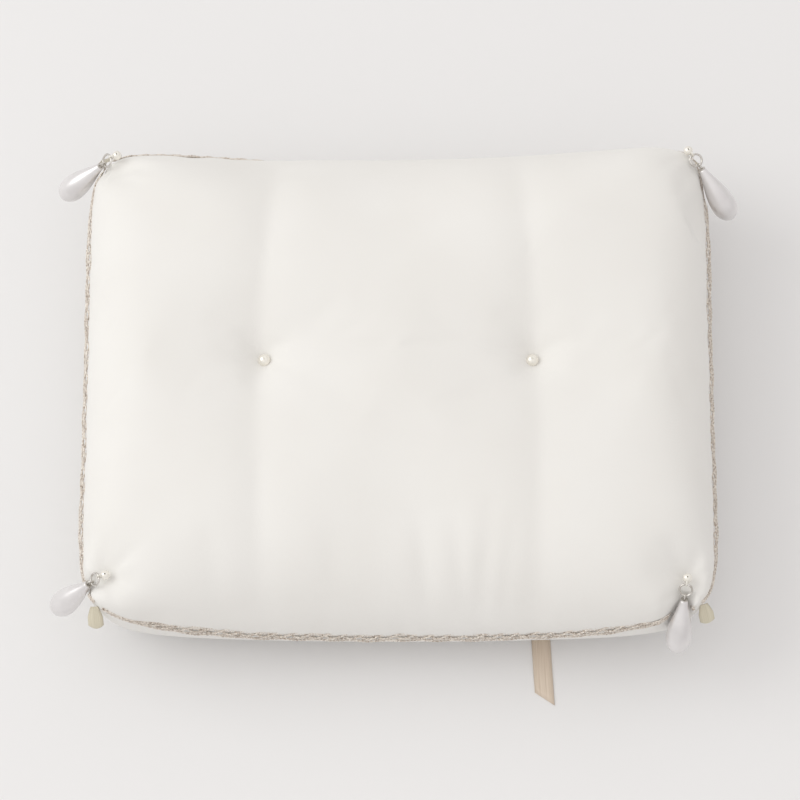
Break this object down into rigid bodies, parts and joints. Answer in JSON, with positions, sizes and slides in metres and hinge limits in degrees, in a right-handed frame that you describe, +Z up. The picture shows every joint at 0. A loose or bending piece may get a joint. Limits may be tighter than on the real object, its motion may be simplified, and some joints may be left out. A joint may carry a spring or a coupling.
{
  "type": "ring bearer pillow",
  "caption": "Tufted ring cushion with braid along its seam, satin ribbons that tie the rings, and pearl drops that swing at its corners.",
  "frame": {"origin": "on the resting surface, under the middle of the pillow between its two tufts", "axes": "+Z up out of the plain side, +X towards the right end, -Y towards the front long side"},
  "size_m": [0.2208, 0.184, 0.0505],
  "materials": {
    "cover_cloth": "fine plain weave, matt ivory",
    "stuffing": "loose white fibre",
    "gimp_braid": "champagne and silver metallic thread",
    "pearl": "pearl lacquer, glossy",
    "sewing_thread": "ivory polyester thread",
    "satin_ribbon": "double-faced champagne satin",
    "silver_wire": "bright plated wire"
  },
  "bodies": {
    "pillow": {"upper_cover": "cover_cloth", "lower_cover": "cover_cloth", "filling": "stuffing", "braid_front": "gimp_braid", "braid_back": "gimp_braid", "braid_left": "gimp_braid", "braid_right": "gimp_braid", "tuft_pearl_left": "pearl", "tuft_pearl_right": "pearl", "tuft_thread_left": "sewing_thread", "tuft_thread_right": "sewing_thread", "ring_ribbon_left": "satin_ribbon", "ring_ribbon_right": "satin_ribbon", "thread_loop_back_left": "sewing_thread", "thread_loop_back_right": "sewing_thread", "thread_loop_front_left": "sewing_thread", "thread_loop_front_right": "sewing_thread", "corner_bead_back_left": "pearl", "corner_bead_back_right": "pearl", "corner_bead_front_left": "pearl", "corner_bead_front_right": "pearl", "corner_loop_back_left": "satin_ribbon", "corner_loop_back_right": "satin_ribbon", "corner_loop_front_left": "satin_ribbon", "corner_loop_front_right": "satin_ribbon"},
    "ring_back_left": {"jump_ring_back_left": "silver_wire"},
    "charm_back_left": {"eye_pin_back_left": "silver_wire", "drop_back_left": "pearl"},
    "ring_back_right": {"jump_ring_back_right": "silver_wire"},
    "charm_back_right": {"eye_pin_back_right": "silver_wire", "drop_back_right": "pearl"},
    "ring_front_left": {"jump_ring_front_left": "silver_wire"},
    "charm_front_left": {"eye_pin_front_left": "silver_wire", "drop_front_left": "pearl"},
    "ring_front_right": {"jump_ring_front_right": "silver_wire"},
    "charm_front_right": {"eye_pin_front_right": "silver_wire", "drop_front_right": "pearl"}
  },
  "joints": [
    {"name": "ring_swing_back_left", "type": "hinge", "parent": "pillow", "child": "ring_back_left", "pos_m": [-0.09319, 0.07172, 0.0415], "axis": [-0.3256, 0.9455, 0], "range_deg": [0, 80]},
    {"name": "charm_swing_back_left", "type": "hinge", "parent": "ring_back_left", "child": "charm_back_left", "pos_m": [-0.09562, 0.07088, 0.03844], "axis": [-0.3256, 0.9455, 0], "range_deg": [0, 50]},
    {"name": "ring_swing_back_right", "type": "hinge", "parent": "pillow", "child": "ring_back_right", "pos_m": [0.09532, 0.07297, 0.0405], "axis": [-0.7771, -0.6293, 0], "range_deg": [0, 80]},
    {"name": "charm_swing_back_right", "type": "hinge", "parent": "ring_back_right", "child": "charm_back_right", "pos_m": [0.0976, 0.07015, 0.03881], "axis": [-0.7771, -0.6293, 0], "range_deg": [0, 50]},
    {"name": "ring_swing_front_left", "type": "hinge", "parent": "pillow", "child": "ring_front_left", "pos_m": [-0.09363, -0.07274, 0.042], "axis": [-0.2588, 0.9659, 0], "range_deg": [0, 80]},
    {"name": "charm_swing_front_left", "type": "hinge", "parent": "ring_front_left", "child": "charm_front_left", "pos_m": [-0.09611, -0.07341, 0.03894], "axis": [-0.2588, 0.9659, 0], "range_deg": [0, 50]},
    {"name": "ring_swing_front_right", "type": "hinge", "parent": "pillow", "child": "ring_front_right", "pos_m": [0.08997, -0.07527, 0.042], "axis": [-0.9877, 0.1564, 0], "range_deg": [0, 80]},
    {"name": "charm_swing_front_right", "type": "hinge", "parent": "ring_front_right", "child": "charm_front_right", "pos_m": [0.08955, -0.07792, 0.03903], "axis": [-0.9877, 0.1564, 0], "range_deg": [0, 50]}
  ]
}
